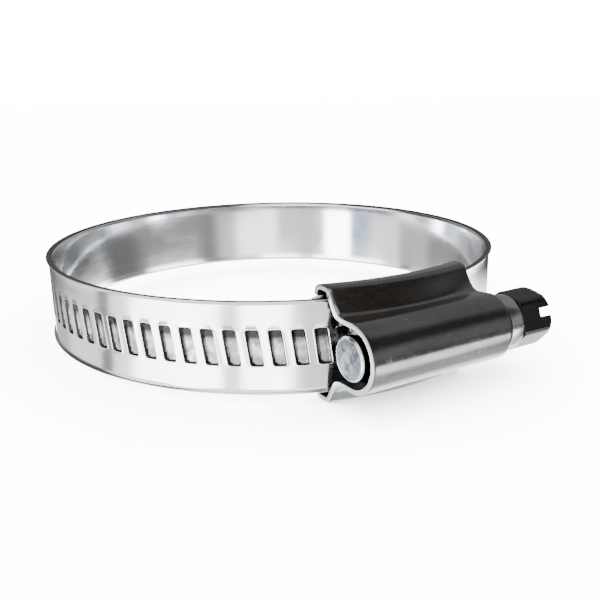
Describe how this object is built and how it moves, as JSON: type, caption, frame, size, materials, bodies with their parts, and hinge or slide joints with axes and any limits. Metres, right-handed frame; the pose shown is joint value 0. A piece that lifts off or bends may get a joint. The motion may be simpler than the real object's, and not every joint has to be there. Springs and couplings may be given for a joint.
{
  "type": "worm-drive hose clamp",
  "caption": "Round band clamp for hoses, with a pressed-thread steel band that a worm screw in a folded sheet housing draws tight.",
  "frame": {"origin": "centre of the hose bore, at the middle of the band's width", "axes": "+Z along the hose; the screw's housing faces the azimuth of -61 degrees, on the -Y side, with its head towards +X"},
  "size_m": [0.0724, 0.0794, 0.015],
  "materials": {
    "band": "bright zinc plate",
    "housing": "dark bright nickel",
    "screw": "dark zinc plate, rough at the tip"
  },
  "bodies": {
    "housing": {"housing": "housing", "saddle": "housing", "band_fixed_end": "band"},
    "screw": {"screw": "screw", "worm_thread": "screw"},
    "toothed_end": {"band_toothed_end": "band"},
    "link_01": {"band_link_01": "band"},
    "link_02": {"band_link_02": "band"},
    "link_03": {"band_link_03": "band"},
    "link_04": {"band_link_04": "band"},
    "link_05": {"band_link_05": "band"},
    "link_06": {"band_link_06": "band"},
    "link_07": {"band_link_07": "band"},
    "link_08": {"band_link_08": "band"},
    "link_09": {"band_link_09": "band"},
    "link_10": {"band_link_10": "band"},
    "link_11": {"band_link_11": "band"}
  },
  "joints": [
    {"name": "screw_turn", "type": "hinge", "parent": "housing", "child": "screw", "pos_m": [0.01921, -0.03465, 0], "axis": [0.8746, 0.4848, 0], "range_deg": [-720, 3600]},
    {"name": "toothed_end_feed", "type": "hinge", "parent": "housing", "child": "toothed_end", "pos_m": [0.00112, 0, 0], "axis": [0, 0, 1], "range_deg": [-9.05, 45.05]},
    {"name": "loop_bend_01", "type": "hinge", "parent": "toothed_end", "child": "link_01", "pos_m": [-0.02195, -0.02701, 0], "axis": [0, 0, 1], "range_deg": [-9.76, 1.99]},
    {"name": "loop_bend_02", "type": "hinge", "parent": "link_01", "child": "link_02", "pos_m": [-0.03114, -0.01487, 0], "axis": [0, 0, 1], "range_deg": [-5.78, 1.2]},
    {"name": "loop_bend_03", "type": "hinge", "parent": "link_02", "child": "link_03", "pos_m": [-0.0344, 0, 0], "axis": [0, 0, 1], "range_deg": [-2.27, 0.49]},
    {"name": "loop_bend_04", "type": "hinge", "parent": "link_03", "child": "link_04", "pos_m": [-0.03118, 0.01454, 0], "axis": [0, 0, 1], "range_deg": [-0.81, 0.2]},
    {"name": "loop_bend_05", "type": "hinge", "parent": "link_04", "child": "link_05", "pos_m": [-0.02211, 0.02635, 0], "axis": [0, 0, 1], "range_deg": [-1.52, 0.34]},
    {"name": "loop_bend_06", "type": "hinge", "parent": "link_05", "child": "link_06", "pos_m": [-0.0089, 0.03323, 0], "axis": [0, 0, 1], "range_deg": [-3.43, 0.73]},
    {"name": "loop_bend_07", "type": "hinge", "parent": "link_06", "child": "link_07", "pos_m": [0.00597, 0.03388, 0], "axis": [0, 0, 1], "range_deg": [-5.04, 1.05]},
    {"name": "loop_bend_08", "type": "hinge", "parent": "link_07", "child": "link_08", "pos_m": [0.01973, 0.02818, 0], "axis": [0, 0, 1], "range_deg": [-5.39, 1.12]},
    {"name": "loop_bend_09", "type": "hinge", "parent": "link_08", "child": "link_09", "pos_m": [0.02979, 0.0172, 0], "axis": [0, 0, 1], "range_deg": [-4.62, 0.96]},
    {"name": "loop_bend_10", "type": "hinge", "parent": "link_09", "child": "link_10", "pos_m": [0.03439, 0.00262, 0], "axis": [0, 0, 1], "range_deg": [-3.65, 0.77]},
    {"name": "loop_bend_11", "type": "hinge", "parent": "link_10", "child": "link_11", "pos_m": [0.03239, -0.01255, 0], "axis": [0, 0, 1], "range_deg": [-3.27, 0.69]}
  ],
  "couplings": [
    {"joint": "toothed_end_feed", "follows": "screw_turn", "ratio": 0.0125},
    {"joint": "loop_bend_01", "follows": "screw_turn", "ratio": -0.0026975},
    {"joint": "loop_bend_02", "follows": "screw_turn", "ratio": -0.0015912},
    {"joint": "loop_bend_03", "follows": "screw_turn", "ratio": -0.00061625},
    {"joint": "loop_bend_04", "follows": "screw_turn", "ratio": -0.0002125},
    {"joint": "loop_bend_05", "follows": "screw_turn", "ratio": -0.00040875},
    {"joint": "loop_bend_06", "follows": "screw_turn", "ratio": -0.00093875},
    {"joint": "loop_bend_07", "follows": "screw_turn", "ratio": -0.0013875},
    {"joint": "loop_bend_08", "follows": "screw_turn", "ratio": -0.0014825},
    {"joint": "loop_bend_09", "follows": "screw_turn", "ratio": -0.0012687},
    {"joint": "loop_bend_10", "follows": "screw_turn", "ratio": -0.0010012},
    {"joint": "loop_bend_11", "follows": "screw_turn", "ratio": -0.000895}
  ]
}
